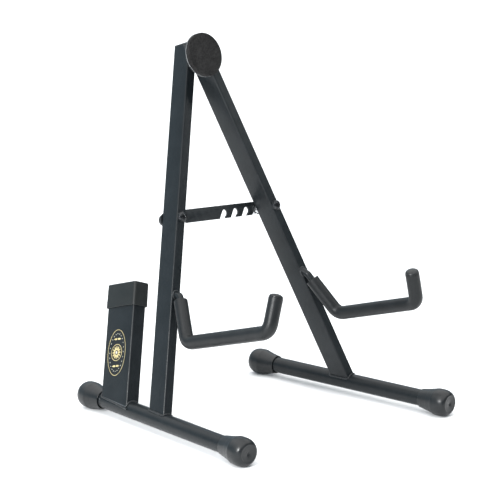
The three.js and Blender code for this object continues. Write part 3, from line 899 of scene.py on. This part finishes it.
def leaf(length, width, turn, centre):
    """A pointed petal from a centre outwards."""
    points = []
    for i in range(24):
        t = TURN * i / 24
        along = length * (0.5 + 0.5 * math.cos(t))
        across = width / 2 * math.sin(t) * abs(math.sin(t / 2)) ** 0.6
        x = along * math.cos(turn) - across * math.sin(turn)
        z = along * math.sin(turn) + across * math.cos(turn)
        points.append((centre[0] + x, centre[1] + z))
    return points


def add_badge():
    """A printed oval round a rosette, two lozenges and a ring of dots, on the post's outer face."""
    ahead, above = left.front + POST_BACK + BADGE_BEHIND, BADGE_ABOVE - left.length
    matrix = leg_at(left, -POST_OUTWARD - POST_WIDTH / 2, ahead, above)
    wide, tall, line, outer_edge = 16.2 * MM, 26.6 * MM, 0.62 * MM, 0.2 * MM
    film, print_top = -0.06 * MM, -0.14 * MM
    petals, petal_root, ring, ring_line = 12, 2.6 * MM, 9.6 * MM, 0.5 * MM
    lozenge_up, lozenge_apart = 15.5 * MM, 0.5 * MM
    dots, dot, dots_wide, dots_tall = 24, 0.45 * MM, 12.4 * MM, 21.6 * MM
    bm = bmesh.new()
    flat_shape(bm, ellipse(wide, tall), 0.02 * MM, film)
    place_piece("badge_film", mesh_from(bm, "badge_film", matrix), PAINT, "post_badge")
    bm = bmesh.new()
    outside = ellipse(wide - outer_edge, tall - outer_edge)
    band(bm, outside, ellipse(wide - line, tall - line), film, print_top)
    for petal in range(petals):
        turn = TURN * petal / petals
        root = (petal_root * math.cos(turn), petal_root * math.sin(turn))
        flat_shape(bm, leaf(5.2 * MM, 2.2 * MM, turn, root), film, print_top)
    band(bm, ellipse(ring, ring), ellipse(ring - ring_line, ring - ring_line), film, print_top)
    for up in (-lozenge_up, lozenge_up):
        for turn in (0, math.pi):
            root = (lozenge_apart * math.cos(turn), up)
            flat_shape(bm, leaf(5.6 * MM, 2.6 * MM, turn, root), film, print_top)
    place_piece("badge_print", mesh_from(bm, "badge_print", matrix), GILT, body=left.body)
    bm = bmesh.new()
    for step in range(dots):
        angle = TURN * step / dots
        place = (dots_wide * math.cos(angle), dots_tall * math.sin(angle))
        flat_shape(bm, ellipse(dot, dot, 16, place), film, print_top)
    flat_shape(bm, ellipse(1.5 * MM, 1.5 * MM, 24), print_top, print_top - 0.04 * MM)
    place_piece("badge_dots", mesh_from(bm, "badge_dots", matrix), SILVERING, body=left.body)


# ---------- bolts, nuts and washers ----------
def head_profile(height):
    """Rings over a pan head, close together near the middle where the cross recess is."""
    radii = [0.25 * MM * step for step in range(1, 14)] + [3.9 * MM, 4.5 * MM, 5.0 * MM, 5.3 * MM, 5.5 * MM]
    rings = [(radius, height * (1 - 0.62 * (radius / HEAD) ** 4)) for radius in radii]
    rings += [(HEAD, height * 0.22), (HEAD, 0.12 * MM), (HEAD - 0.12 * MM, 0), (SHANK, 0)]
    return rings


def pan_bolt(name, matrix, height, length, cad_node, threaded=10 * MM):
    """A cross-recess pan bolt: the head's underside at 0, the shank back to length, its end threaded."""
    profile = head_profile(height)
    pitch, thread_depth, steps, sides = 1.0 * MM, 0.32 * MM, 6, 64
    rings = profile + [(SHANK, threaded - length)]
    count = round((threaded - 1.2 * MM) / pitch * steps)
    rings += [(SHANK, threaded - length - pitch * (i + 1) / steps) for i in range(count)]
    rings += [(SHANK - 0.7 * MM, -length + 0.1 * MM), (SHANK - 0.9 * MM, -length)]
    smooth_end = len(profile)
    made = []
    for index, (radius, forward) in enumerate(rings):
        ring = []
        for i in range(sides):
            angle = TURN * i / sides
            size = radius
            depth = 0.0
            if smooth_end < index < len(rings) - 2:
                cycle = (forward / pitch + i / sides) % 1.0
                size -= thread_depth * abs(2 * cycle - 1)
            if index < smooth_end - 4:
                depth = recess(radius * math.cos(angle), radius * math.sin(angle), height)
            ring.append((size * math.cos(angle), -(forward - depth), size * math.sin(angle)))
        made.append(ring)
    place_piece(name, loft(name, made, matrix), BLACK_BOLT, cad_node, smooth=38)


def recess(x, z, height):
    """How deep the cross recess is at a point of the head."""
    turn = math.radians(28)
    u = abs(x * math.cos(turn) + z * math.sin(turn))
    v = abs(z * math.cos(turn) - x * math.sin(turn))
    if u < v:
        u, v = v, u
    arm, half, wall_slope, end_slope = 2.9 * MM, 0.52 * MM, 0.3 * MM, 1.1 * MM
    side = min(1.0, max(0.0, (half + 0.22 * MM - v) / wall_slope))
    end = min(1.0, max(0.0, (arm - u) / end_slope))
    return 0.62 * height * side * end


def nut(name, matrix, size, thick, cad_node, collar=0.0):
    """A chamfered hexagon nut, size being its corner radius, with a round locking collar if it has one."""
    across = size * math.cos(math.pi / 6)
    corner, hole, chamfer, collar_radius = 0.55 * MM, 3.05 * MM, 0.35 * MM, 4.3 * MM

    def hexagon(radius, forward, angle):
        if radius < size - 0.3 * MM:
            return radius
        turn = (angle % (TURN / 6)) - TURN / 12
        flat = across / math.cos(turn)
        edge = min(-forward, thick - collar + forward)
        return min(flat, across + 0.1 * MM + max(0.0, edge) * 1.6 + 0.05 * MM)

    levels = [0.0, 0.15 * MM, 0.3 * MM, corner, thick - collar - corner, thick - collar - 0.3 * MM]
    levels += [thick - collar - 0.15 * MM, thick - collar]
    profile = [(hole + chamfer, 0), *((size, -level) for level in levels)]
    if collar:
        profile += [(collar_radius, 0.05 * MM - thick + collar), (collar_radius, 0.4 * MM - thick)]
        profile.append((4 * MM, -thick))
    profile += [(hole + chamfer, -thick), (hole, chamfer - thick), (hole, -chamfer)]
    mesh = turned(name, profile, matrix, 72, loop=True, shape=hexagon)
    place_piece(name, mesh, ZINC, cad_node, smooth=25)


def washer(name, matrix, radius, thick, cad_node):
    """A flat washer with its front face at 0."""
    hole, bevel = 3.2 * MM, 0.22 * MM
    profile = [(hole + bevel, 0), (radius - bevel, 0), (radius, -bevel), (radius, bevel - thick)]
    profile += [(radius - bevel, -thick), (hole + bevel, -thick), (hole, bevel - thick), (hole, -bevel)]
    place_piece(name, turned(name, profile, matrix, 64, loop=True), BLACK_STEEL, cad_node)


def dome_nut(name, matrix, radius, thick, cad_node):
    """A flanged nut with a domed back, open for the bolt's tip."""
    hole = 3.1 * MM
    profile = [(hole + 0.3 * MM, 0), (radius - 0.2 * MM, 0), (radius, -0.2 * MM), (radius, -0.8 * MM)]
    for step in range(1, 9):
        angle = math.pi / 2 * step / 9
        size = 3.7 * MM + (radius - 3.9 * MM) * math.cos(angle)
        profile.append((size, -0.9 * MM - (thick - 0.9 * MM) * math.sin(angle)))
    profile += [(3.6 * MM, -thick), (hole + 0.2 * MM, -thick), (hole, 0.3 * MM - thick), (hole, -0.3 * MM)]
    place_piece(name, turned(name, profile, matrix, 64, loop=True), BLACK_STEEL, cad_node)


def add_pivot():
    """The strut's pivot bolt through the left leg, with a domed nut at the back."""
    rear = left.front + LEG_DEPTH
    head = left.front - 2 * GAP - WASHER_THICK
    nut_face = rear + WIDE_THICK + 2 * GAP

    def at(y):
        return leg_at(left, y=y, z=-STRUT_PIVOT)

    washer("pivot_washer", at(head + GAP), WASHER_RADIUS, WASHER_THICK, "strut_pivot_washer")
    length = nut_face + DOME_HEIGHT + 0.9 * MM - head
    pan_bolt("pivot_bolt", at(head), HEAD_HEIGHT, length, "strut_pivot_bolt")
    washer("pivot_rear_washer", at(rear + GAP), WIDE_RADIUS, WIDE_THICK, "strut_pivot_rear_washer")
    dome_nut("pivot_nut", at(nut_face), DOME_RADIUS, DOME_HEIGHT, "strut_pivot_nut")


def add_catch():
    """The catch bolt through the right leg, with a nut on each side of the strut."""
    rear = right.front + LEG_DEPTH
    head = right.front - 2 * GAP - WASHER_THICK
    strut_front = LEG_GAP / 2 + LEG_WALL + GAP
    retainer = strut_front + STRUT_THICK + GAP

    def at(y):
        return leg_at(right, y=y, z=-STRUT_CATCH)

    washer("catch_front_washer", at(head + GAP), WASHER_RADIUS, WASHER_THICK, "catch_washer")
    length = retainer + 4.6 * MM - head
    pan_bolt("catch_pan_bolt", at(head), HEAD_HEIGHT, length, "catch_bolt", 12 * MM)
    nut("catch_lock_nut", at(rear + GAP), NUT_CORNER, strut_front - 2 * GAP - rear, "catch_nut")
    nut("catch_stop_nut", at(retainer), NUT_CORNER, STOP_NUT_THICK, "catch_end_nut")


def add_hinge():
    """The hinge bolt through both legs, with a lock nut held between the left leg's side walls."""
    plate_front = right.front - GAP - PAD_PLATE
    nut_front, thick = left.front + LEG_WALL + GAP, 5.6 * MM
    captive = (LEG_WIDTH / 2 - LEG_WALL - GAP) / math.cos(math.pi / 6)
    length = nut_front + thick + 1.5 * MM - (plate_front - GAP)
    tilt = basis(ACROSS, BACK, RISE, HINGE)
    bolt_at = tilt @ Matrix.Translation((0, plate_front - GAP, 0))
    pan_bolt("hinge_pan_bolt", bolt_at, HINGE_HEAD_HEIGHT, length, "hinge_bolt", 12 * MM)
    nut("hinge_lock_nut", leg_at(left, y=nut_front), captive, thick, "hinge_nut", HINGE_COLLAR)


# ---------- pad ----------
def add_pad():
    """A die-cut foam disc with a soft front edge and an uneven face. Its flat back has no pocket."""
    edge, uneven = 1.3 * MM, 0.12 * MM
    profile = [(PAD_RADIUS - 0.25 * MM, 0), (PAD_RADIUS - 0.05 * MM, 0.3 * MM), (PAD_RADIUS, 1.2 * MM)]
    profile += [(PAD_RADIUS, PAD_THICK - edge)]
    for step in range(1, 8):
        angle = math.pi / 2 * step / 7
        inset = edge * (1 - math.cos(angle))
        profile.append((PAD_RADIUS - inset, PAD_THICK - edge + edge * math.sin(angle)))
    for share in (0.85, 0.7, 0.55, 0.4, 0.25, 0.1):
        profile.append((PAD_RADIUS * share, PAD_THICK))
    profile = [(PAD_RADIUS * 0.5, 0), *profile]
    centre = Vector((PAD_X, right.front - 2 * GAP - PAD_PLATE, PAD_Z))
    mesh = turned("neck_pad", profile, right.leg @ Matrix.Translation(centre), 128)
    into = right.leg.inverted()
    for vert in mesh.vertices:
        local = into @ vert.co
        if local.y < centre.y - PAD_THICK * 0.4:
            vert.co += BACK * uneven * (1 + noise.noise(local * 70))
    piece = place_piece("neck_foam_pad", mesh, PAD_FOAM, "neck_pad", smooth=60)


add_camera()
add_floor()
add_studio()
dress_frame()
add_feet()
for arm_side in SIDES:
    add_sleeve(arm_side)
    add_rod(arm_side)
    add_tip(arm_side)
add_welds()
add_cap()
add_badge()
add_pivot()
add_catch()
add_hinge()
add_pad()
